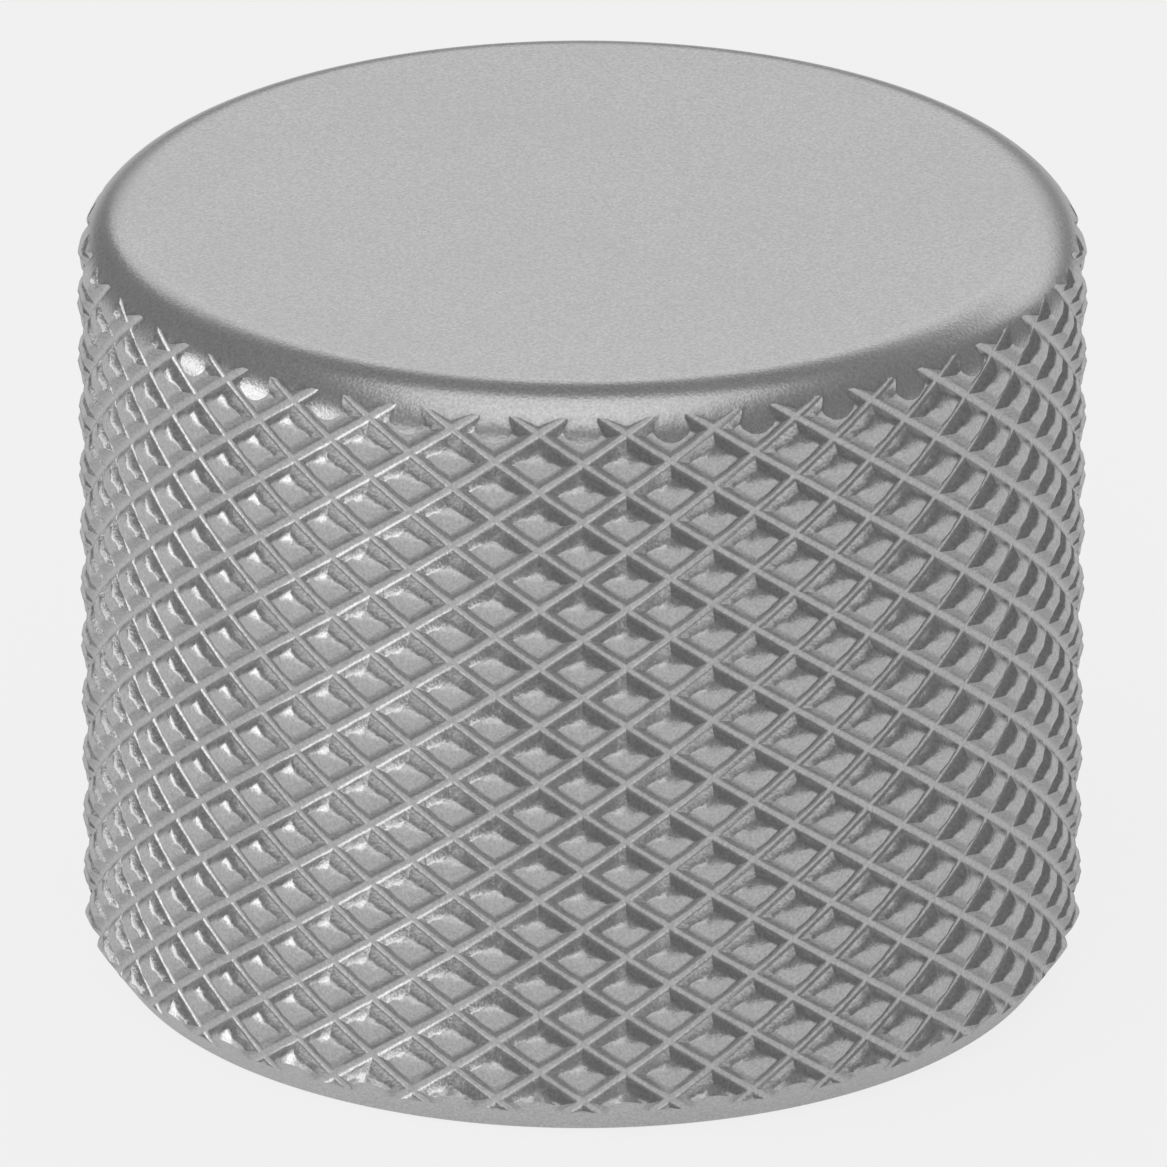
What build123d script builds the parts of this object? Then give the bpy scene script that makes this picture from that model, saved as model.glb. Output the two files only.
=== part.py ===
from build123d import *
import math
import os

os.makedirs("parts", exist_ok=True)

# A solid turned knob with a crossed diamond knurl, in millimetres. The origin is the centre
# of the base, +Z runs up the shaft's axis, and the front of the knob faces -Y.

# Driving dimensions of the turned body
knob_dia = 20.0
knob_height = 15.7
top_edge_radius = 1.2
base_bevel_width = 0.65
base_bevel_height = 0.9
base_edge_radius = 0.2
blank_allowance = 0.02
top_edge_flats = 4
base_edge_flats = 2

# Driving dimensions of the knurl
knurl_starts = 36
knurl_pitch = 1.23
knurl_first_crossing = 0.78
knurl_groove_depth = 0.15
knurl_pad_width = 0.52
knurl_pad_crown = 0.06

# Driving dimensions of the underside and the shaft bore
recess_dia = 14.0
recess_depth = 2.0
shaft_dia = 6.0
shaft_clearance = 0.05
bore_depth = 10.0
bore_mouth_bevel = 0.4
drill_point_angle = 118.0

# Driving dimensions of the grub screw and its cross hole
screw_dia = 3.0
screw_length = 5.0
screw_height = 5.2
screw_back_off = 0.3
screw_socket_size = 1.5
screw_socket_depth = 2.0
screw_end_bevel = 0.3
screw_point_bevel = 0.6
screw_cup_rim = 0.2
screw_cup_depth = 0.4

# Allowances for cuts that run past a face, and for telling which face or edge lies on a plane
cut_overrun = 1.0
match_tolerance = 1e-4

# Sizes that follow from them
crest_radius = knob_dia / 2
pad_radius = crest_radius - knurl_pad_crown
root_radius = pad_radius - knurl_groove_depth
blank_radius = crest_radius + blank_allowance
bore_radius = (shaft_dia + shaft_clearance) / 2
bore_end = recess_depth + bore_depth
drill_point_height = bore_radius / math.tan(math.radians(drill_point_angle / 2))
round_pitch = math.pi * knob_dia / knurl_starts
normal_pitch = round_pitch * knurl_pitch / math.hypot(round_pitch, knurl_pitch)
pad_inset = (1 - knurl_pad_width / normal_pitch) / 2
sector_angle = 360 / knurl_starts


def knurl_point(u, v, radius):
    """A point of the knurl. Grooves of one hand lie at whole u, of the other hand at whole v."""
    turn = math.pi * (u - v) / knurl_starts
    height = knurl_first_crossing + knurl_pitch * (u + v) / 2
    return Vector(radius * math.sin(turn), -radius * math.cos(turn), height)


def facet(*points):
    return Face(Wire.make_polygon(points, close=True))


def diamond_half(u, v, side):
    """Half of one diamond, right or left of its upright diagonal: two flanks and two crown facets.

    The diamond lies between grooves u and u+1 of one hand and v and v+1 of the other."""
    low_edge, high_edge = pad_inset, 1 - pad_inset
    side_u, side_v = (1, 0) if side == "right" else (0, 1)
    bottom = knurl_point(u, v, root_radius)
    corner = knurl_point(u + side_u, v + side_v, root_radius)
    top = knurl_point(u + 1, v + 1, root_radius)
    pad_bottom = knurl_point(u + low_edge, v + low_edge, pad_radius)
    pad_top = knurl_point(u + high_edge, v + high_edge, pad_radius)
    pad_u, pad_v = (high_edge, low_edge) if side == "right" else (low_edge, high_edge)
    pad_corner = knurl_point(u + pad_u, v + pad_v, pad_radius)
    crest = knurl_point(u + 0.5, v + 0.5, crest_radius)
    return [
        facet(bottom, corner, pad_corner),
        facet(bottom, pad_corner, pad_bottom),
        facet(corner, top, pad_corner),
        facet(top, pad_top, pad_corner),
        facet(pad_bottom, pad_corner, crest),
        facet(pad_corner, pad_top, crest),
    ]


def knurled_wedge():
    """A wedge of the knurled bar, one groove pitch wide and longer than the knob at both ends.

    Its middle column of diamonds is whole, and the columns on its two side planes are halves."""
    first_row = math.floor(-knurl_first_crossing / knurl_pitch) - 1
    last_row = math.ceil((knob_height - knurl_first_crossing) / knurl_pitch) + 1
    faces = []
    for row in range(first_row, last_row):
        faces += diamond_half(row, row, "right")
        faces += diamond_half(row, row, "left")
    for row in range(first_row + 1, last_row):
        faces += diamond_half(row, row - 1, "left")
        faces += diamond_half(row - 1, row, "right")
    low_end = knurl_point(first_row + 1, first_row, 0)
    high_end = knurl_point(last_row, last_row - 1, 0)
    for step_u, step_v in ((1, 0), (0, 1)):
        outline = [low_end]
        for row in range(first_row + 1, last_row):
            u, v = row - step_v, row - step_u
            outline.append(knurl_point(u, v, root_radius))
            outline.append(knurl_point(u + pad_inset, v + pad_inset, pad_radius))
            outline.append(knurl_point(u + 0.5, v + 0.5, crest_radius))
            outline.append(knurl_point(u + 1 - pad_inset, v + 1 - pad_inset, pad_radius))
        outline.append(knurl_point(last_row - step_v, last_row - step_u, root_radius))
        outline.append(high_end)
        faces.append(facet(*outline))
        low_corner = knurl_point(first_row + step_u, first_row + step_v, root_radius)
        high_corner = knurl_point(last_row - step_v, last_row - step_u, root_radius)
        faces.append(facet(low_end, low_corner, knurl_point(first_row, first_row, root_radius)))
        faces.append(facet(high_end, high_corner, knurl_point(last_row, last_row, root_radius)))
    return Solid(Shell(faces))


def turned_profile():
    """Radius and height along the turned outline: base, bevel, side, rounded top edge and top.

    Each rounding is an arc drawn as a few straight flats."""
    base_radius = blank_radius - base_bevel_width
    bevel_slope = math.atan2(base_bevel_height, base_bevel_width)
    base_arc_start = base_radius - base_edge_radius * math.tan(bevel_slope / 2)
    profile = [(0, 0)]
    for step in range(base_edge_flats + 1):
        lean = bevel_slope * step / base_edge_flats
        radius = base_arc_start + base_edge_radius * math.sin(lean)
        profile.append((radius, base_edge_radius * (1 - math.cos(lean))))
    profile.append((blank_radius, base_bevel_height))
    for step in range(top_edge_flats + 1):
        lean = math.pi / 2 * step / top_edge_flats
        radius = blank_radius - top_edge_radius * (1 - math.cos(lean))
        profile.append((radius, knob_height - top_edge_radius * (1 - math.sin(lean))))
    profile.append((0, knob_height))
    return profile


def turned_wedge():
    """A wedge of the turned form before knurling, as wide as the knurled wedge.

    Its round surface is one flat for each half pitch, so every groove ends on straight edges, and
    the flats stay within a hundredth of a millimetre of the round."""
    rims = []
    for side in (-1, 0, 1):
        turn = math.radians(side * sector_angle / 2)
        rims.append([Vector(r * math.sin(turn), -r * math.cos(turn), z) for r, z in turned_profile()])
    faces = [facet(*rims[0]), facet(*rims[-1])]
    for left, right in zip(rims, rims[1:]):
        for index in range(len(left) - 1):
            corners = [left[index], right[index], right[index + 1], left[index + 1]]
            on_axis = {0: 1, len(left) - 2: 3}
            if index in on_axis:
                del corners[on_axis[index]]
            faces.append(facet(*corners))
    return Solid(Shell(faces))


def knurled_blank():
    """The knurled wedge cut to the turned form, repeated round the axis and joined into one solid."""
    wedge = knurled_wedge() & turned_wedge()
    side_turn = math.radians(sector_angle / 2)
    skin = []
    for face in wedge.faces():
        middle = face.center()
        turn = abs(math.atan2(middle.X, -middle.Y))
        on_side = abs(turn - side_turn) < match_tolerance
        on_end = min(abs(middle.Z), abs(middle.Z - knob_height)) < match_tolerance
        if not on_side and not on_end:
            skin.append(face)
    sector_skin = Shell(skin)
    shell_faces = []
    end_edges = {0: [], knob_height: []}
    for index in range(knurl_starts):
        copy = Rot(0, 0, index * sector_angle) * sector_skin
        shell_faces += copy.faces()
        for level, edges in end_edges.items():
            low, high = level - match_tolerance, level + match_tolerance
            edges += copy.edges().filter_by_position(Axis.Z, low, high)
    for edges in end_edges.values():
        shell_faces.append(Face(Wire(edges)))
    return Solid(Shell(shell_faces))


def underside_hollow():
    """The recess that clears a panel nut, and the blind shaft bore above it with its drill point."""
    with BuildSketch(Plane.XZ) as section:
        with BuildLine():
            Polyline(
                (0, -cut_overrun),
                (recess_dia / 2, -cut_overrun),
                (recess_dia / 2, recess_depth),
                (bore_radius + bore_mouth_bevel, recess_depth),
                (bore_radius, recess_depth + bore_mouth_bevel),
                (bore_radius, bore_end),
                (0, bore_end + drill_point_height),
                close=True,
            )
        make_face()
    return revolve(section.sketch, Axis.Z)


def knob_body():
    """The whole knob: the knurled blank with its underside bored and its back drilled for the screw."""
    hole_length = crest_radius + cut_overrun
    cross_hole = Cylinder(screw_dia / 2, hole_length, align=(Align.CENTER, Align.CENTER, Align.MIN))
    cross_hole = Pos(0, 0, screw_height) * Rot(-90, 0, 0) * cross_hole
    return knurled_blank() - [underside_hollow(), cross_hole]


def grub_screw():
    """A socket set screw with a cup point, its socket outward, turned back clear of the bore."""
    rim_radius = screw_dia / 2 - screw_point_bevel
    with BuildSketch(Plane.XZ) as section:
        with BuildLine():
            Polyline(
                (0, screw_cup_depth),
                (rim_radius - screw_cup_rim, 0),
                (rim_radius, 0),
                (screw_dia / 2, screw_point_bevel),
                (screw_dia / 2, screw_length - screw_end_bevel),
                (screw_dia / 2 - screw_end_bevel, screw_length),
                (0, screw_length),
                close=True,
            )
        make_face()
    screw = revolve(section.sketch, Axis.Z)
    socket_radius = screw_socket_size / math.sqrt(3)
    socket = extrude(Pos(0, 0, screw_length) * RegularPolygon(socket_radius, 6), -screw_socket_depth)
    point_y = bore_radius + screw_back_off
    return Pos(0, point_y, screw_height) * Rot(-90, 0, 0) * (screw - socket)


for node, solid in {"knob_body": knob_body(), "grub_screw": grub_screw()}.items():
    export_step(solid, f"parts/{node}.step", write_pcurves=False)
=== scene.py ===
import bpy
import math
import numpy as np
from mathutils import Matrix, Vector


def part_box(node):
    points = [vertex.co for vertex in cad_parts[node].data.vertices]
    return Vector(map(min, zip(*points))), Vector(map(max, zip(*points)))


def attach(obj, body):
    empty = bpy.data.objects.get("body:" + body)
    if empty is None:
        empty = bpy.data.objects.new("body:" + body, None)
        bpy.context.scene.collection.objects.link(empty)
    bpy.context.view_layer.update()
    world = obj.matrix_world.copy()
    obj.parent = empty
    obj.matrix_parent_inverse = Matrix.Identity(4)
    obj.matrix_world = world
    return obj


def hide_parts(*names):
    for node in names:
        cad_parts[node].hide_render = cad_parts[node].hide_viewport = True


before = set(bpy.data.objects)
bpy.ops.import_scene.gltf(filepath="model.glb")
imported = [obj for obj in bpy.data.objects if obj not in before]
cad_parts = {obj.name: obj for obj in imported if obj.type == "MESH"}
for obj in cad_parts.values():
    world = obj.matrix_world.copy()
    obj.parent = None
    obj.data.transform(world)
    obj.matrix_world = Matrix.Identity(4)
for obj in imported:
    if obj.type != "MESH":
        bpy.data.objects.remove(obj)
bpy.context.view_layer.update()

# Knob body. One piece of aluminium bar: turned, given a crossed diamond knurl, its top edge rounded
# and its base edge bevelled, recessed and bored from below, then cross-drilled and tapped at the
# back. The outside is bead-blasted to a satin grey, and the bore keeps its bare turned finish.

body_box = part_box("knob_body")
screw_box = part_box("grub_screw")

CREST_RADIUS = float(body_box[1][0])
HEIGHT = float(body_box[1][2])
ROOT_RADIUS = CREST_RADIUS - 0.00026
TOP_EDGE_RADIUS = 0.00118
BASE_BEVEL_WIDTH = 0.00063
BASE_BEVEL_HEIGHT = 0.00087
BASE_EDGE_RADIUS = 0.0002
# Between these two heights the mesh follows the knurl, and above and below them it is plain rings.
# The nearest ring stands off by an angle of the top edge's arc and by a height at the base.
TOP_JOIN = HEIGHT - TOP_EDGE_RADIUS + 0.00079
TOP_RING_LEAN = 0.06
TOP_ARC_RINGS = 13
BASE_JOIN = 0.0005
BASE_RING_DROP = 0.0001
BASE_ARC_RINGS = 6
# A ring this far inside the top edge's arc keeps the flat top evenly shaded up to its edge
FLAT_RIM = 0.00003

KNURL_STARTS = 36
KNURL_PITCH = 0.00123
KNURL_FIRST_CROSSING = 0.00076
# Rows of diamonds that the net has below the first crossing, and a count past any that it has
SPARE_ROWS = 2
MANY_ROWS = 100
# Distances from a groove's middle line in shares of the pitch, and there the groove's depth, the
# painted shade that darkens its flanks and the wear that brightens it, each from 0 to 1
GROOVE_LINES = np.array([0.045, 0.1, 0.2, 0.28, 0.5])
GROOVE_DEPTHS = np.array([1.0, 0.76, 0.22, 0.03, 0.0])
GROOVE_PAINTED_SHADE = np.array([0.1, 0.75, 1.0, 0.3, 0.0])
RIM_WEAR = np.array([0.0, 0.0, 0.4, 1.0, 0.3])
PAD_HALF = 0.5 - GROOVE_LINES[3]
PAD_CROWN = 0.00009
# The flanks of the two hands meet in crisp hips up to this share of the pitch
HIP_END = 0.29

RECESS_RADIUS = 0.007
RECESS_DEPTH = 0.002
RECESS_CORNER = 0.00012
BORE_RADIUS = 0.003025
BORE_BEVEL = 0.0004
BORE_END = 0.012
DRILL_POINT_ANGLE = 118
DRILL_POINT = BORE_RADIUS / math.tan(math.radians(DRILL_POINT_ANGLE / 2))
HOLE_RADIUS = float(screw_box[1][0])
HOLE_HEIGHT = float(screw_box[0][2] + screw_box[1][2]) / 2
SCREW_FACE = float(screw_box[1][1])
THREAD_PITCH = 0.0005
THREAD_DEPTH = 0.0002
# Half the height of the thread's cosine, in thread depths. What passes 0 or 1 is cut off flat.
THREAD_SWING = 0.62
# The hole's first and last rings stand off its mouth and the bore. Inward from the first ring its
# thread rises over THREAD_FADE, runs to THREAD_END and is gone at PLAIN_START, past the screw's face.
HOLE_STAND_OFF = 0.0001
THREAD_FADE = 0.0002
THREAD_END = SCREW_FACE - 0.00025
PLAIN_START = SCREW_FACE - 0.0005
HOLE_RINGS = 44
BORE_RINGS = 13
RING_POINTS = 360
HOLE_POINTS = 72
# How near counts as the same: to a surface and to the hole's wall in metres, and in shares of the
# pitch. Points that round to the same whole number of these places to the metre become one.
ON_SURFACE = 1e-8
ON_WALL = 2e-9
SAME_SHARE = 1e-6
PLACES_PER_METRE = 1e9

# Kinds of patch. Edges between two kinds are sharp, and from RECESS on the metal is bare.
OUTSIDE, KNURL, BASE, RECESS, RECESS_FLOOR, BORE, HOLE = range(7)


def off_grooves(theta, z):
    """How far a point is from the nearest groove of each hand, in shares of the pitch. The grooves
    of one hand count up with height plus turn, and those of the other with height minus turn."""
    rise = (z - KNURL_FIRST_CROSSING) / KNURL_PITCH
    turn = KNURL_STARTS * theta / (2 * np.pi)
    return np.stack([np.abs(rise + side - np.round(rise + side)) for side in (turn, -turn)])


def knurl_radius(theta, z):
    """Radius of the knurl. A pad falls off with the square of the distance from its middle along
    each groove direction, and the nearer of the two grooves cuts it down to the root."""
    off = off_grooves(theta, z)
    across = np.minimum(0.5 - off, PAD_HALF) / PAD_HALF
    pad = CREST_RADIUS - PAD_CROWN * (across**2).sum(axis=0) / 2
    cut = np.interp(off.min(axis=0), GROOVE_LINES, GROOVE_DEPTHS)
    return pad + (ROOT_RADIUS - pad) * cut


def turned_radius(z):
    """Radius of the turned outline: a straight bevel at the base, a cylinder, and a quarter arc at
    the top edge."""
    bevel = BASE_BEVEL_WIDTH * np.clip(1 - z / BASE_BEVEL_HEIGHT, 0, None)
    into_arc = np.clip(z - (HEIGHT - TOP_EDGE_RADIUS), 0, TOP_EDGE_RADIUS)
    return CREST_RADIUS - bevel - TOP_EDGE_RADIUS + np.sqrt(TOP_EDGE_RADIUS**2 - into_arc**2)


ring_theta = np.arange(RING_POINTS) * 2 * np.pi / RING_POINTS
hole_phi = np.arange(HOLE_POINTS) * 2 * np.pi / HOLE_POINTS


def on_axis(theta, radius, z):
    """Points at an angle about +Z, counted from the front (-Y) towards +X, a radius and a height."""
    return np.stack(np.broadcast_arrays(radius * np.sin(theta), -radius * np.cos(theta), z), axis=-1)


def about_hole(radius, y):
    """Points about the axis of the cross hole and its screw from rows of radius and place along +Y.
    Their angles are hole_phi, counted from +X towards +Z."""
    return np.stack(np.broadcast_arrays(
        radius * np.cos(hole_phi), y, HOLE_HEIGHT + radius * np.sin(hole_phi)), axis=-1)


def angle_of(points):
    """The angle of on_axis for points that are already there."""
    return np.arctan2(points[..., 0], -points[..., 1])


def side_points(points):
    """The same points moved in or out to the finished side: the lesser of knurl and turned radius."""
    theta, z = angle_of(points), points[..., 2]
    return on_axis(theta, np.minimum(knurl_radius(theta, z), turned_radius(z)), z)


def above_knurl(points):
    """Positive where the turned outline lies below the knurl, so that its smooth surface shows."""
    return knurl_radius(angle_of(points), points[..., 2]) - turned_radius(points[..., 2])


def clear_of_hole(points):
    """Distance of points from the cross hole's wall, positive outside it and all over the front."""
    from_wall = np.hypot(points[..., 0], points[..., 2] - HOLE_HEIGHT) - HOLE_RADIUS
    return np.where(points[..., 1] > 0, from_wall, HOLE_RADIUS)


def clear_of_mouth(points):
    """The same for points of the net, taken at their places on the finished side."""
    return clear_of_hole(side_points(points))


def knurl_net():
    """The side as a net of diamonds on a cylinder of radius 1, each divided along its own two groove
    directions, so that the groove's lines are edges of the mesh. Point (u, v) lies at the angle
    pi (u - v) / starts and at the first crossing plus pitch (u + v) / 2. The small squares are split
    along their upright diagonal, and those on a diamond's level diagonal along that, so that the
    four hips of each diamond are edges too. A point's key is made of its whole steps around the
    knob and along it, so that neighbouring diamonds share their points."""
    lines = np.unique(np.concatenate([GROOVE_LINES, 1 - GROOVE_LINES]))
    count = len(lines)
    column = np.arange(2 * KNURL_STARTS)
    row = np.arange(-SPARE_ROWS, math.ceil(HEIGHT / KNURL_PITCH) + 1)
    column, row, i, j = np.meshgrid(column, row, np.arange(count), np.arange(count), indexing="ij")
    odd = column % 2
    cell_u, cell_v = row + (column + odd) // 2, row + (odd - column) // 2
    around_span, along_span = 2 * KNURL_STARTS * count, MANY_ROWS * count
    corners = []
    for step_i, step_j in ((0, 0), (1, 0), (1, 1), (0, 1)):
        fine_u, fine_v = cell_u * count + i + step_i, cell_v * count + j + step_j
        corners.append((fine_u - fine_v) % around_span * along_span + (fine_u + fine_v + along_span // 2))
    keys, index = np.unique(np.stack(corners, axis=-1), return_inverse=True)
    index = index.reshape(-1, 4)
    around, along = keys // along_span, keys % along_span - along_span // 2
    fine_u, fine_v = (along + around) // 2, (along - around) // 2
    u = fine_u // count + lines[fine_u % count]
    v = fine_v // count + lines[fine_v % count]
    theta = np.pi * (u - v) / KNURL_STARTS
    z = KNURL_FIRST_CROSSING + KNURL_PITCH * (u + v) / 2
    on_level = (i + j == count - 2).reshape(-1)
    upright, level = index[~on_level], index[on_level]
    triangles = [upright[:, [0, 1, 2]], upright[:, [0, 2, 3]], level[:, [0, 1, 3]], level[:, [1, 2, 3]]]
    return on_axis(theta, 1.0, z), np.concatenate(triangles)


HALVINGS = 24
ZERO_SHARE = 1e-9


def cut_along(points, triangles, value_at):
    """Splits every triangle that the zero line of value_at crosses. Where an edge crosses the line,
    the crossing is found by halving, and a corner that all but lies on it stays as it is. Returns
    the points, the triangles and each one's sign."""
    values = value_at(points)
    values[np.abs(values) < ZERO_SHARE * np.abs(values).max()] = 0.0
    edges = triangles[:, [0, 1, 1, 2, 2, 0]].reshape(-1, 2)
    crossed = values[edges[:, 0]] * values[edges[:, 1]] < 0
    pairs, which = np.unique(np.sort(edges[crossed], axis=1), axis=0, return_inverse=True)
    low, high = points[pairs[:, 0]], points[pairs[:, 1]]
    low_sign = np.sign(values[pairs[:, 0]])
    start, end = np.zeros(len(pairs)), np.ones(len(pairs))
    for _ in range(HALVINGS):
        middle = (start + end) / 2
        before = np.sign(value_at(low + (high - low) * middle[:, None])) == low_sign
        start, end = np.where(before, middle, start), np.where(before, end, middle)
    added = low + (high - low) * ((start + end) / 2)[:, None]
    middle_of = np.full(len(edges), -1)
    middle_of[crossed] = len(points) + which.reshape(-1)
    middle_of = middle_of.reshape(-1, 3)
    count = (middle_of >= 0).sum(axis=1)
    parts = [triangles[count == 0]]
    for turn in range(3):
        corner, mid = np.roll(triangles, -turn, axis=1), np.roll(middle_of, -turn, axis=1)
        one = (count == 1) & (mid[:, 0] >= 0)
        parts.append(np.stack([corner[one, 0], mid[one, 0], corner[one, 2]], axis=1))
        parts.append(np.stack([mid[one, 0], corner[one, 1], corner[one, 2]], axis=1))
        two = (count == 2) & (mid[:, 0] >= 0) & (mid[:, 2] >= 0)
        parts.append(np.stack([corner[two, 0], mid[two, 0], mid[two, 2]], axis=1))
        parts.append(np.stack([mid[two, 0], corner[two, 1], corner[two, 2]], axis=1))
        parts.append(np.stack([mid[two, 0], corner[two, 2], mid[two, 2]], axis=1))
    triangles = np.concatenate(parts)
    values = np.concatenate([values, np.zeros(len(added))])[triangles]
    strongest = np.abs(values).argmax(axis=1)
    return np.concatenate([points, added]), triangles, np.sign(values[np.arange(len(values)), strongest])


def used_only(points, triangles):
    """The patch without the points that no triangle uses."""
    used, index = np.unique(triangles, return_inverse=True)
    return points[used], index.reshape(-1, 3)


def rim(points, on_rim, angle):
    """The points of a closed rim in the order of an angle, with that angle."""
    found = np.flatnonzero(on_rim)
    order = found[np.argsort(angle[found])]
    return points[order], angle[order]


def zipped(first, first_angle, second, second_angle):
    """A strip between two closed rims of any number of points. Each edge of one rim is joined to
    the point of the other that is level with the edge's middle."""
    turn = 2 * np.pi
    first_middle = (first_angle + np.append(first_angle[1:], first_angle[0] + turn)) / 2
    second_middle = (second_angle + np.append(second_angle[1:], second_angle[0] + turn)) / 2

    def level_with(angle, middles, side):
        passed = np.searchsorted(np.sort(middles % turn), angle % turn, side=side)
        return (passed - (middles >= turn).sum()) % len(middles)

    a, b = np.arange(len(first)), len(first) + np.arange(len(second))
    across_a = len(first) + level_with(first_middle, second_middle, "left")
    across_b = level_with(second_middle, first_middle, "right")
    along_first = np.stack([a, across_a, np.roll(a, -1)], axis=1)
    along_second = np.stack([b, np.roll(b, -1), across_b], axis=1)
    return np.concatenate([first, second]), np.concatenate([along_first, along_second])


def net_of(grid):
    """A patch from a grid of points, rows by columns, whose last column joins the first."""
    rows, columns = grid.shape[:2]
    row, column = np.meshgrid(np.arange(rows - 1), np.arange(columns), indexing="ij")
    a = row * columns + column
    d = row * columns + (column + 1) % columns
    b, c = a + columns, d + columns
    triangles = np.concatenate([np.stack([a, b, c], axis=-1), np.stack([a, c, d], axis=-1)])
    return grid.reshape(-1, 3), triangles.reshape(-1, 3)


def turned(profile):
    """The surface that a profile of (radius, height) sweeps about the axis."""
    radius, z = np.array(profile).T[:, :, None]
    return net_of(on_axis(ring_theta, radius, z))


def side_patches():
    """The side of the knob from TOP_JOIN down to BASE_JOIN with the cross hole's mouth cut out. The
    knurl and the smooth turned surface meet in edges of the mesh, and come out as two patches."""
    points, triangles = knurl_net()
    points, triangles, sign = cut_along(points, triangles, lambda at: at[..., 2] - TOP_JOIN)
    points, triangles, sign = cut_along(points, triangles[sign < 0], lambda at: at[..., 2] - BASE_JOIN)
    points, triangles, sign = cut_along(points, triangles[sign > 0], clear_of_mouth)
    points, triangles, sign = cut_along(points, triangles[sign > 0], above_knurl)
    points = side_points(points)
    return used_only(points, triangles[sign <= 0]), used_only(points, triangles[sign > 0])


def thread_depth(phi, y):
    """Depth of a right-hand thread about +Y, 0 at its outer diameter and 1 at its inner: a rounded
    V whose phase is y over the pitch plus the share of a turn."""
    phase = (y - SCREW_FACE) / THREAD_PITCH + phi / (2 * np.pi)
    return np.clip(0.5 - THREAD_SWING * np.cos(2 * np.pi * phase), 0, 1)


def hole_wall(mouth, mouth_phi, inner, inner_phi):
    """The wall of the cross hole from its mouth to the bore. Its thread shows between the mouth and
    the screw's face, and fades at both ends into the plain hole."""
    outer = float(mouth[:, 1].min()) - HOLE_STAND_OFF
    inmost = BORE_RADIUS + HOLE_STAND_OFF
    y = np.append(np.linspace(outer, PLAIN_START, HOLE_RINGS), inmost)[:, None]
    shown = np.interp(y, [PLAIN_START, THREAD_END, outer - THREAD_FADE, outer], [0, 1, 1, 0])
    radius = HOLE_RADIUS - THREAD_DEPTH * shown * thread_depth(hole_phi, y)
    grid = about_hole(radius, y)
    return [
        zipped(mouth, mouth_phi, grid[0], hole_phi),
        net_of(grid),
        zipped(grid[-1], hole_phi, inner, inner_phi),
    ]


def body_patches():
    """Every patch of the knob's skin with its kind, from the middle of the top over the side and
    the base to the drill point at the bore's end."""
    join_lean = math.asin(1 - (HEIGHT - TOP_JOIN) / TOP_EDGE_RADIUS)
    lean = np.linspace(math.pi / 2, join_lean + TOP_RING_LEAN, TOP_ARC_RINGS)
    arc_radius = CREST_RADIUS - TOP_EDGE_RADIUS * (1 - np.cos(lean))
    arc_z = HEIGHT - TOP_EDGE_RADIUS * (1 - np.sin(lean))
    flat = CREST_RADIUS - TOP_EDGE_RADIUS
    top = turned([(0, HEIGHT), (flat / 3, HEIGHT), (flat * 2 / 3, HEIGHT), (flat - FLAT_RIM, HEIGHT)]
                 + list(zip(arc_radius, arc_z)))

    slope = math.atan2(BASE_BEVEL_HEIGHT, BASE_BEVEL_WIDTH)
    arc_start = CREST_RADIUS - BASE_BEVEL_WIDTH - BASE_EDGE_RADIUS * math.tan(slope / 2)
    lean = np.linspace(slope, 0, BASE_ARC_RINGS)
    edge_radius, edge_z = arc_start + BASE_EDGE_RADIUS * np.sin(lean), BASE_EDGE_RADIUS * (1 - np.cos(lean))
    bevel_z = BASE_JOIN - BASE_RING_DROP
    bevel = turned([(float(turned_radius(bevel_z)), bevel_z)] + list(zip(edge_radius, edge_z)))
    base = turned([(arc_start, 0), (RECESS_RADIUS + RECESS_CORNER, 0)])
    recess = turned([(RECESS_RADIUS + RECESS_CORNER, 0), (RECESS_RADIUS, RECESS_CORNER),
                     (RECESS_RADIUS, RECESS_DEPTH - RECESS_CORNER)])
    recess_floor = turned([(RECESS_RADIUS, RECESS_DEPTH - RECESS_CORNER),
                           (RECESS_RADIUS - RECESS_CORNER, RECESS_DEPTH),
                           (BORE_RADIUS + BORE_BEVEL, RECESS_DEPTH)])
    bore_mouth = turned([(BORE_RADIUS + BORE_BEVEL, RECESS_DEPTH), (BORE_RADIUS, RECESS_DEPTH + BORE_BEVEL)])
    levels = np.linspace(RECESS_DEPTH + BORE_BEVEL, BORE_END, BORE_RINGS)
    points, triangles = turned([(BORE_RADIUS, level) for level in levels])
    points, triangles, sign = cut_along(points, triangles, clear_of_hole)
    bore = used_only(points, triangles[sign > 0])
    bore_end = turned([(BORE_RADIUS, BORE_END), (BORE_RADIUS / 2, BORE_END + DRILL_POINT / 2),
                       (0, BORE_END + DRILL_POINT)])

    knurl, smooth = side_patches()
    side = np.unique(np.concatenate([knurl[0], smooth[0]]), axis=0)
    theta = angle_of(side) % (2 * np.pi)
    top_rim = rim(side, np.abs(side[:, 2] - TOP_JOIN) < ON_SURFACE, theta)
    base_rim = rim(side, np.abs(side[:, 2] - BASE_JOIN) < ON_SURFACE, theta)

    def hole_rim(points):
        phi = np.arctan2(points[:, 2] - HOLE_HEIGHT, points[:, 0]) % (2 * np.pi)
        from_axis = np.hypot(points[:, 0], points[:, 2] - HOLE_HEIGHT)
        return rim(points, (np.abs(from_axis - HOLE_RADIUS) < ON_WALL) & (points[:, 1] > 0), phi)

    patches = [
        (top, OUTSIDE),
        (zipped(top[0][-RING_POINTS:], ring_theta, *top_rim), OUTSIDE),
        (knurl, KNURL),
        (smooth, OUTSIDE),
        (zipped(*base_rim, bevel[0][:RING_POINTS], ring_theta), OUTSIDE),
        (bevel, OUTSIDE),
        (base, BASE),
        (recess, RECESS),
        (recess_floor, RECESS_FLOOR),
        (bore_mouth, RECESS_FLOOR),
        (bore, BORE),
        (bore_end, BORE),
    ]
    wall = hole_wall(*hole_rim(side), *hole_rim(bore[0]))
    return patches + [(patch, HOLE) for patch in wall]


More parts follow.
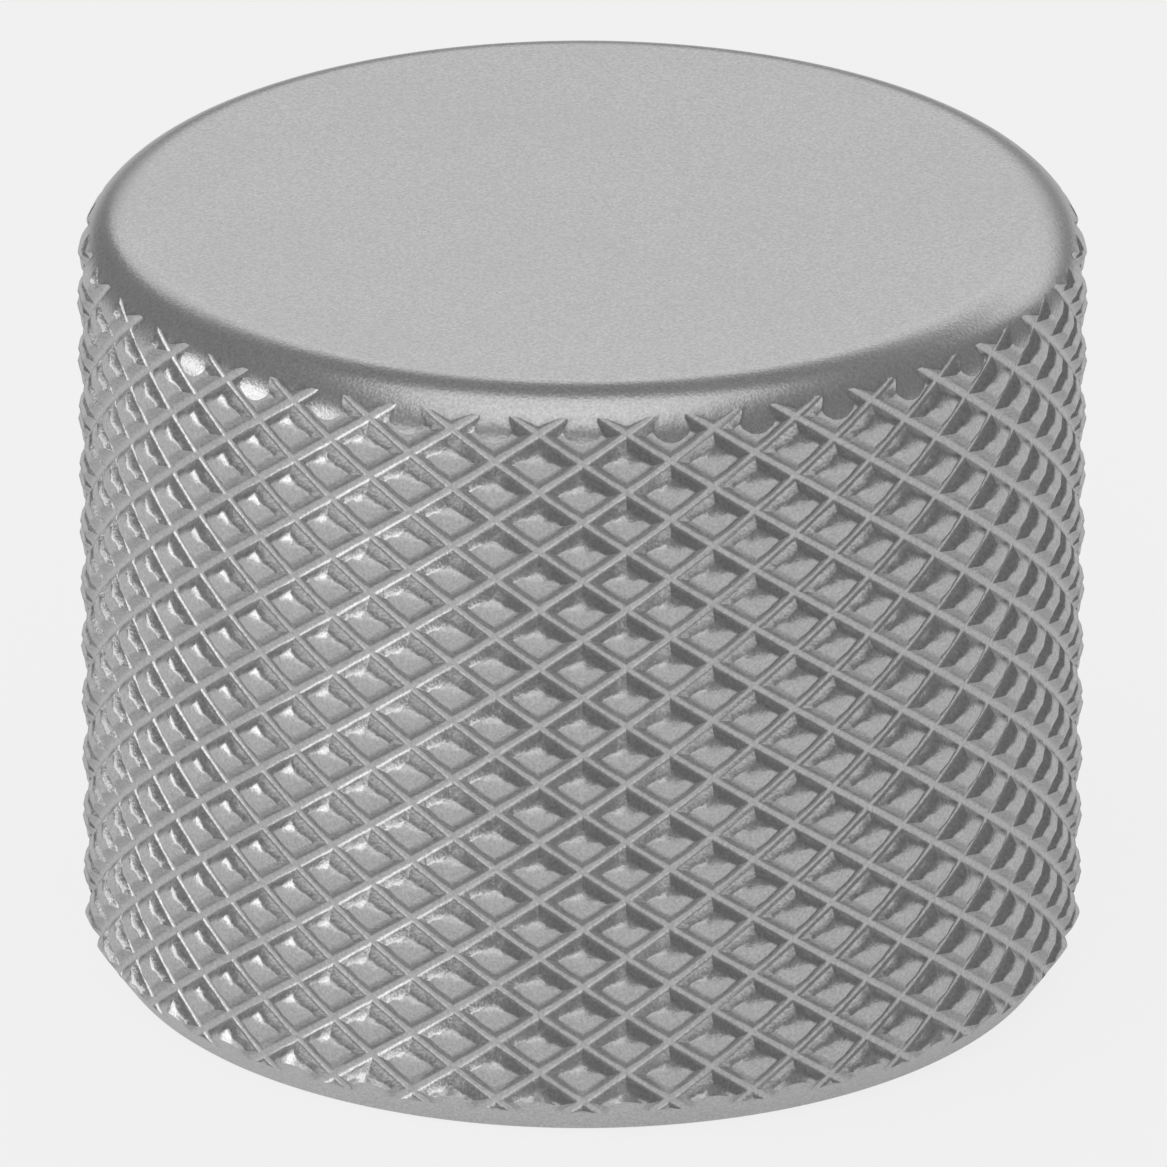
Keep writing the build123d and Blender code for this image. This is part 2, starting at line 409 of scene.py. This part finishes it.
def on_knurl(points):
    """True for points that lie on the knurl, and not on the turned outline or below the net."""
    off_surface = np.hypot(points[:, 0], points[:, 1]) - knurl_radius(angle_of(points), points[:, 2])
    return (np.abs(off_surface) < ON_SURFACE) & (points[:, 2] > BASE_JOIN)


def on_hip(points):
    """True for points of the knurl where the flanks of the two hands of grooves meet in a hip."""
    off = off_grooves(angle_of(points), points[:, 2])
    level = np.abs(off[0] - off[1]) < SAME_SHARE
    return on_knurl(points) & level & (off[0] > GROOVE_LINES[0] - SAME_SHARE) & (off[0] < HIP_END)


def skin_mesh(name, patches, crisp_at=None):
    """Joins patches into one closed mesh. Points at the same place become one, and triangles that
    shrink to nothing at a pole go. Edges between two kinds of patch are sharp, and so are edges
    with both ends where crisp_at is true. Returns the mesh, its points and each triangle's kind."""
    starts = np.cumsum([0] + [len(points) for (points, _), _ in patches])
    points = np.concatenate([points for (points, _), _ in patches])
    triangles = np.concatenate([corners + start for ((_, corners), _), start in zip(patches, starts)])
    kind = np.concatenate([np.full(len(corners), kind) for (_, corners), kind in patches])
    places = np.round(points * PLACES_PER_METRE)
    _, first, index = np.unique(places, axis=0, return_index=True, return_inverse=True)
    points, triangles = points[first], index.reshape(-1)[triangles]
    whole = (triangles != np.roll(triangles, 1, axis=1)).all(axis=1)
    triangles, kind = triangles[whole], kind[whole]

    mesh = bpy.data.meshes.new(name)
    mesh.vertices.add(len(points))
    mesh.vertices.foreach_set("co", points.astype(np.float32).ravel())
    mesh.loops.add(triangles.size)
    mesh.loops.foreach_set("vertex_index", triangles.astype(np.int32).ravel())
    mesh.polygons.add(len(triangles))
    mesh.polygons.foreach_set("loop_start", np.arange(0, triangles.size, 3, dtype=np.int32))
    mesh.update(calc_edges=True)
    mesh.shade_smooth()
    edge_of = np.zeros(triangles.size, np.int32)
    mesh.loops.foreach_get("edge_index", edge_of)
    low, high = np.full(len(mesh.edges), kind.max()), np.full(len(mesh.edges), kind.min())
    np.minimum.at(low, edge_of, np.repeat(kind, 3))
    np.maximum.at(high, edge_of, np.repeat(kind, 3))
    crisp = low != high
    if crisp_at:
        ends = np.zeros(len(mesh.edges) * 2, np.int32)
        mesh.edges.foreach_get("vertices", ends)
        crisp |= crisp_at(points)[ends.reshape(-1, 2)].all(axis=1)
    sharp = mesh.attributes.new("sharp_edge", "BOOLEAN", "EDGE")
    sharp.data.foreach_set("value", crisp)
    return mesh, points, kind


def effect_group(name, inputs, outputs):
    """An empty shader node group. Inputs are (name, value), and outputs are names of values."""
    group = bpy.data.node_groups.new(name, "ShaderNodeTree")
    for label, value in inputs:
        group.interface.new_socket(label, in_out="INPUT", socket_type="NodeSocketFloat").default_value = value
    for label in outputs:
        group.interface.new_socket(label, in_out="OUTPUT", socket_type="NodeSocketFloat")
    return group, group.nodes.new("NodeGroupInput").outputs, group.nodes.new("NodeGroupOutput").inputs


def calculation(tree, operation, *values, clamp=False):
    """One Math node. Each value is a number or the socket that it is linked to."""
    node = tree.nodes.new("ShaderNodeMath")
    node.operation = operation
    node.use_clamp = clamp
    for socket, value in zip(node.inputs, values):
        if isinstance(value, (int, float)):
            socket.default_value = value
        else:
            tree.links.new(value, socket)
    return node.outputs[0]


def noise(tree, size, detail):
    """A noise of about the given grain size on the object's own coordinates, about zero."""
    node = tree.nodes.new("ShaderNodeTexNoise")
    place = tree.nodes.new("ShaderNodeTexCoord")
    tree.links.new(place.outputs["Object"], node.inputs["Vector"])
    tree.links.new(calculation(tree, "DIVIDE", 1.0, size), node.inputs["Scale"])
    node.inputs["Detail"].default_value = detail
    return calculation(tree, "SUBTRACT", node.outputs["Fac"], 0.5)


def make_grain():
    """Fine grain left by blasting or etching: small dents of one size under larger soft patches."""
    group, given, out = effect_group(
        "surface grain", [("Size", 0.00005), ("Patch Size", 0.002)], ["Dents", "Patches"])
    group.links.new(noise(group, given["Size"], 1.5), out["Dents"])
    group.links.new(noise(group, given["Patch Size"], 3.0), out["Patches"])
    return group


def make_wear():
    """Rubbed edges. An edge value from the mesh is broken up by noise and sharpened to a mask."""
    group, given, out = effect_group(
        "edge wear", [("Edge", 0.0), ("Amount", 0.5), ("Breakup Size", 0.0003)], ["Mask"])
    broken = calculation(group, "ADD", given["Edge"], noise(group, given["Breakup Size"], 3.0))
    over = calculation(group, "SUBTRACT", broken, calculation(group, "SUBTRACT", 1.0, given["Amount"]))
    group.links.new(calculation(group, "MULTIPLY", over, 2.0, clamp=True), out["Mask"])
    return group


def make_turning():
    """Fine rings that a lathe tool leaves: noise along the distance from the knob's axis and its
    height, and none around the axis."""
    group, given, out = effect_group("turning rings", [("Feed", 0.0001)], ["Height"])
    place = group.nodes.new("ShaderNodeTexCoord")
    parts = group.nodes.new("ShaderNodeSeparateXYZ")
    group.links.new(place.outputs["Object"], parts.inputs[0])
    square = calculation(group, "ADD", calculation(group, "MULTIPLY", parts.outputs["X"], parts.outputs["X"]),
                         calculation(group, "MULTIPLY", parts.outputs["Y"], parts.outputs["Y"]))
    along = calculation(group, "ADD", calculation(group, "SQRT", square), parts.outputs["Z"])
    rings = group.nodes.new("ShaderNodeTexNoise")
    rings.noise_dimensions = "1D"
    group.links.new(calculation(group, "DIVIDE", along, given["Feed"]), rings.inputs["W"])
    rings.inputs["Scale"].default_value = 1.0
    rings.inputs["Detail"].default_value = 2.0
    group.links.new(calculation(group, "SUBTRACT", rings.outputs["Fac"], 0.5), out["Height"])
    return group


grain, wear, turning = make_grain(), make_wear(), make_turning()


def placed(tree, group, **values):
    """A group in a material, its inputs set by name, with _ for a space."""
    node = tree.nodes.new("ShaderNodeGroup")
    node.node_tree = group
    for label, value in values.items():
        socket = node.inputs[label.replace("_", " ")]
        if isinstance(value, (int, float)):
            socket.default_value = value
        else:
            tree.links.new(value, socket)
    return node.outputs


def surface_value(tree, name):
    """A value that the mesh holds for each of its points."""
    node = tree.nodes.new("ShaderNodeAttribute")
    node.attribute_name = name
    return node.outputs["Fac"]


def grey(tree, tone):
    """A neutral colour of a calculated tone."""
    node = tree.nodes.new("ShaderNodeCombineColor")
    for socket in node.inputs:
        tree.links.new(tone, socket)
    return node.outputs[0]


def total(tree, base, *parts):
    """A base value plus, for each (socket, weight), the socket's value times its weight."""
    for socket, weight in parts:
        base = calculation(tree, "ADD", base, calculation(tree, "MULTIPLY", socket, weight))
    return base


def bump(tree, height, depth):
    """A normal from a height that runs over about one unit, with its real depth in metres."""
    node = tree.nodes.new("ShaderNodeBump")
    node.inputs["Distance"].default_value = depth
    tree.links.new(height, node.inputs["Height"])
    return node.outputs[0]


def new_material(name, metallic):
    """A Principled material. Returns it with its node tree and its shader's inputs."""
    material = bpy.data.materials.new(name)
    material.use_nodes = True
    shader = material.node_tree.nodes["Principled BSDF"]
    shader.inputs["Metallic"].default_value = metallic
    return material, material.node_tree, shader.inputs


# Tones and roughnesses of the two finishes of this metal, before dents, patches, painted shade and wear
SATIN_TONE = 0.72
SATIN_ROUGHNESS = 0.27
BLAST_DENT_SIZE = 0.00006
BLAST_DENT_DEPTH = 0.000004
BARE_TONE = 0.66
BARE_ROUGHNESS = 0.27
TOOL_FEED = 0.00009
TOOL_MARK_DEPTH = 0.000006


def blasted_aluminium():
    """Satin grey aluminium. Each dent of the blasting catches light, the flanks of the grooves are
    darkened by painted shade, and the rims of the diamonds are rubbed brighter and smoother."""
    material, tree, shader = new_material("blasted_aluminium", metallic=1.0)
    grains = placed(tree, grain, Size=BLAST_DENT_SIZE, Patch_Size=0.003)
    dents, patches, painted_shade = grains["Dents"], grains["Patches"], surface_value(tree, "painted_shade")
    rubbed = placed(tree, wear, Edge=surface_value(tree, "rim"), Amount=0.35, Breakup_Size=0.0004)["Mask"]
    # painted_shade darkens the grooves' flanks: painted shade in the base colour, not dust
    tone = total(tree, SATIN_TONE, (dents, 0.45), (patches, 0.03), (painted_shade, -0.2), (rubbed, 0.05))
    tree.links.new(grey(tree, tone), shader["Base Color"])
    rough = total(tree, SATIN_ROUGHNESS, (patches, 0.08), (rubbed, -0.06))
    tree.links.new(rough, shader["Roughness"])
    tree.links.new(bump(tree, dents, BLAST_DENT_DEPTH), shader["Normal"])
    return material


def turned_aluminium():
    """Bare aluminium as the boring tool and the drill leave it, with fine rings."""
    material, tree, shader = new_material("turned_aluminium", metallic=1.0)
    rings = placed(tree, turning, Feed=TOOL_FEED)["Height"]
    patches = placed(tree, grain, Size=0.0001, Patch_Size=0.002)["Patches"]
    tone = total(tree, BARE_TONE, (rings, 0.1), (patches, 0.06))
    tree.links.new(grey(tree, tone), shader["Base Color"])
    tree.links.new(total(tree, BARE_ROUGHNESS, (patches, 0.1)), shader["Roughness"])
    tree.links.new(bump(tree, rings, TOOL_MARK_DEPTH), shader["Normal"])
    return material


mesh, points, kind = skin_mesh("knob", body_patches(), on_hip)
nearest = off_grooves(angle_of(points), points[:, 2]).min(axis=0)
# painted_shade is painted shade on the grooves' flanks; rim is wear on the diamonds' rims
for name, values in (("painted_shade", GROOVE_PAINTED_SHADE), ("rim", RIM_WEAR)):
    attribute = mesh.attributes.new(name, "FLOAT", "POINT")
    attribute.data.foreach_set("value", on_knurl(points) * np.interp(nearest, GROOVE_LINES, values))
mesh.materials.append(blasted_aluminium())
mesh.materials.append(turned_aluminium())
mesh.polygons.foreach_set("material_index", (kind >= RECESS).astype(np.int32))
knob = bpy.data.objects.new("knob_body_finished", mesh)
bpy.context.scene.collection.objects.link(knob)
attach(knob, "root")
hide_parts("knob_body")

# Grub screw. A 3 mm socket set screw of hardened steel, cut with a right-hand thread, its hexagon
# socket broached into the outer end and a cup formed in the point, then blackened and oiled. It
# is screwed in from the back and stops just short of the bore.

SCREW_TIP = float(screw_box[0][1])
SOCKET_SIZE = 0.0015
SOCKET_DEPTH = 0.002
SOCKET_MOUTH = 0.00095
END_BEVEL = 0.0003
POINT_BEVEL = 0.0006
CUP_RIM = 0.0002
CUP_DEPTH = 0.0004
# How far the bevel of the socket's mouth goes in for each unit that it narrows
LIP_SLOPE = 0.7
# How far the wear on the thread's crests and on the socket's mouth reaches
CREST_WORN = 0.00006
MOUTH_WORN = 0.00002
ROWS_PER_TURN = 12
SOCKET_RINGS = 5
OXIDE_TONE = 0.055
OXIDE_ROUGHNESS = 0.34
OXIDE_DENT_SIZE = 0.00012
OXIDE_DENT_DEPTH = 0.000003

SCREW_SOCKET, SCREW_SOCKET_FLOOR, SCREW_END, SCREW_THREAD, SCREW_CUP = range(5)


def screw_patches():
    """The screw from the middle of its cup over the point, the thread and the end face to the
    middle of the socket's floor. The socket's radius is its half width over the cosine of the
    angle from the middle of each of its six walls."""
    plain = np.ones((1, HOLE_POINTS))
    rim_radius = HOLE_RADIUS - POINT_BEVEL
    cup = about_hole(np.array([[0], [rim_radius - CUP_RIM], [rim_radius]]) * plain,
                     np.array([[SCREW_TIP + CUP_DEPTH], [SCREW_TIP], [SCREW_TIP]]))
    rows = round((SCREW_FACE - SCREW_TIP) / THREAD_PITCH * ROWS_PER_TURN) + 1
    y = np.linspace(SCREW_TIP, SCREW_FACE, rows)[:, None]
    outline = np.interp(y, [SCREW_TIP, SCREW_TIP + POINT_BEVEL, SCREW_FACE - END_BEVEL, SCREW_FACE],
                        HOLE_RADIUS - np.array([POINT_BEVEL, 0, 0, END_BEVEL]))
    threaded = HOLE_RADIUS - THREAD_DEPTH * thread_depth(hole_phi, y)
    thread = about_hole(np.minimum(outline, threaded), y)
    face = np.concatenate([thread[-1:], about_hole(plain * SOCKET_MOUTH, SCREW_FACE)])

    sixth = math.pi / 3
    hexagon = SOCKET_SIZE / 2 / np.cos((hole_phi + sixth / 2) % sixth - sixth / 2)[None, :]
    socket_end = SCREW_FACE - SOCKET_DEPTH
    lip = SCREW_FACE - (SOCKET_MOUTH - hexagon) * LIP_SLOPE
    walls = about_hole(hexagon, lip + (socket_end - lip) * np.linspace(0, 1, SOCKET_RINGS)[:, None])
    mouth = np.concatenate([face[-1:], walls[:1]])
    socket_floor = about_hole(np.concatenate([hexagon, plain * SOCKET_SIZE / 3, 0 * plain]), socket_end)
    return [
        (net_of(cup), SCREW_CUP),
        (net_of(thread), SCREW_THREAD),
        (net_of(face), SCREW_END),
        (net_of(mouth), SCREW_SOCKET),
        (net_of(walls), SCREW_SOCKET),
        (net_of(socket_floor), SCREW_SOCKET_FLOOR),
    ]


def black_oxide():
    """Blackened steel with a thin film of oil: almost black, half glossy, and rubbed to bare grey
    on the thread's crests and the socket's edge."""
    material, tree, shader = new_material("black_oxide_steel", metallic=0.85)
    grains = placed(tree, grain, Size=OXIDE_DENT_SIZE, Patch_Size=0.0012)
    dents, patches = grains["Dents"], grains["Patches"]
    rubbed = placed(tree, wear, Edge=surface_value(tree, "rim"), Amount=0.3, Breakup_Size=0.0003)["Mask"]
    tone = total(tree, OXIDE_TONE, (patches, 0.03), (dents, 0.02), (rubbed, 0.16))
    tree.links.new(grey(tree, tone), shader["Base Color"])
    tree.links.new(total(tree, OXIDE_ROUGHNESS, (patches, 0.15)), shader["Roughness"])
    tree.links.new(bump(tree, dents, OXIDE_DENT_DEPTH), shader["Normal"])
    return material


mesh, points, _ = skin_mesh("screw", screw_patches())
from_axis = np.hypot(points[:, 0], points[:, 2] - HOLE_HEIGHT)
at_crest = np.clip((from_axis - HOLE_RADIUS + CREST_WORN) / CREST_WORN, 0, 1)
at_mouth = (np.abs(from_axis - SOCKET_MOUTH) < MOUTH_WORN) & (points[:, 1] > SCREW_FACE - MOUTH_WORN)
attribute = mesh.attributes.new("rim", "FLOAT", "POINT")
attribute.data.foreach_set("value", np.maximum(at_crest, at_mouth))
mesh.materials.append(black_oxide())
screw = bpy.data.objects.new("grub_screw_finished", mesh)
bpy.context.scene.collection.objects.link(screw)
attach(screw, "root")
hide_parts("grub_screw")

# Floor. A plain pale board, far larger than the knob, on which the knob stands.

FLOOR_HALF = 0.9
FLOOR_TONE = 0.9
FLOOR_ROUGHNESS = 0.9
# Shares of plain white that the camera sees in the board and that the knob's metal mirrors
WHITE_SEEN = 0.8
WHITE_REFLECTED = 0.3

floor_mesh = bpy.data.meshes.new("floor")
corners = [(x * FLOOR_HALF, y * FLOOR_HALF, 0) for x, y in ((-1, -1), (1, -1), (1, 1), (-1, 1))]
floor_mesh.from_pydata(corners, [], [(0, 1, 2, 3)])
floor = bpy.data.objects.new("floor", floor_mesh)
bpy.context.scene.collection.objects.link(floor)
floor_material, tree, shader = new_material("pale_board", metallic=0.0)
mottle = placed(tree, grain, Size=0.0004, Patch_Size=0.05)["Patches"]
tree.links.new(grey(tree, total(tree, FLOOR_TONE, (mottle, 0.02))), shader["Base Color"])
shader["Roughness"].default_value = FLOOR_ROUGHNESS
shader["Specular IOR Level"].default_value = 0.0
white = tree.nodes.new("ShaderNodeEmission")
path = tree.nodes.new("ShaderNodeLightPath")
mirrored = calculation(tree, "MAXIMUM", path.outputs["Is Glossy Ray"], path.outputs["Is Transmission Ray"])
mirrored = calculation(tree, "MULTIPLY", mirrored, WHITE_REFLECTED)
seen = calculation(tree, "MULTIPLY", path.outputs["Is Camera Ray"], WHITE_SEEN)
paler = tree.nodes.new("ShaderNodeMixShader")
tree.links.new(calculation(tree, "ADD", mirrored, seen), paler.inputs["Fac"])
tree.links.new(tree.nodes["Principled BSDF"].outputs["BSDF"], paler.inputs[1])
tree.links.new(white.outputs["Emission"], paler.inputs[2])
tree.links.new(paler.outputs["Shader"], tree.nodes["Material Output"].inputs["Surface"])
floor_mesh.materials.append(floor_material)

# Light. A soft box overhead that leans towards the camera, and one behind that the flat top
# mirrors. A small bright one low on the left and a dimmer one low in front light the knurl's
# pads there, so that its right side stays darker. An even grey lies all round.

WORLD_TONE = 0.22
LIGHT_DISTANCE = 0.7


def soft_box(name, azimuth, elevation, width, height, brightness):
    """A flat lamp that faces the knob. Azimuth counts from the front towards +X and, with width
    and height, is in degrees as seen from the knob. A brightness of 1 is white."""
    turn, lift = math.radians(azimuth), math.radians(elevation)
    lamp = bpy.data.lights.new(name, "AREA")
    lamp.shape = "RECTANGLE"
    lamp.size = 2 * LIGHT_DISTANCE * math.tan(math.radians(width / 2))
    lamp.size_y = 2 * LIGHT_DISTANCE * math.tan(math.radians(height / 2))
    lamp.energy = brightness * math.pi * lamp.size * lamp.size_y
    light = bpy.data.objects.new(name, lamp)
    out = np.array([math.cos(lift) * math.sin(turn), -math.cos(lift) * math.cos(turn), math.sin(lift)])
    light.location = out * LIGHT_DISTANCE + np.array([0, 0, HEIGHT / 2])
    light.rotation_euler = (math.pi / 2 - lift, 0, turn)
    bpy.context.scene.collection.objects.link(light)


soft_box("overhead_box", azimuth=352, elevation=66, width=52, height=62, brightness=0.6)
soft_box("back_box", azimuth=165, elevation=30, width=70, height=27, brightness=0.54)
soft_box("left_box", azimuth=280, elevation=10, width=46, height=18, brightness=1.4)
soft_box("front_box", azimuth=338, elevation=6, width=60, height=20, brightness=0.65)

world = bpy.data.worlds.new("even_grey")
bpy.context.scene.world = world
world.use_nodes = True
background = world.node_tree.nodes["Background"].inputs
background["Color"].default_value = (1, 1, 1, 1)
background["Strength"].default_value = WORLD_TONE

# Camera. A long lens in front of the knob that looks down on it, as in the photograph.

PHOTO_SIZE = 1167
LENS_PIXELS = 18647
AXIS_PIXEL = 582.37
VIEW_ELEVATION = math.radians(23.11)
VIEW_DISTANCE = 0.3713
VIEW_HEIGHT = 0.00764
SENSOR = 36.0
NEAR_LIMIT = 0.01

camera_data = bpy.data.cameras.new("camera")
camera_data.sensor_width = SENSOR
camera_data.lens = LENS_PIXELS / PHOTO_SIZE * SENSOR
camera_data.shift_x = (PHOTO_SIZE / 2 - AXIS_PIXEL) / PHOTO_SIZE
camera_data.clip_start = NEAR_LIMIT
camera = bpy.data.objects.new("camera", camera_data)
rise = VIEW_DISTANCE * math.sin(VIEW_ELEVATION)
camera.location = (0, -VIEW_DISTANCE * math.cos(VIEW_ELEVATION), VIEW_HEIGHT + rise)
camera.rotation_euler = (math.pi / 2 - VIEW_ELEVATION, 0, 0)
bpy.context.scene.collection.objects.link(camera)
bpy.context.scene.camera = camera
bpy.context.scene.view_settings.view_transform = "Standard"
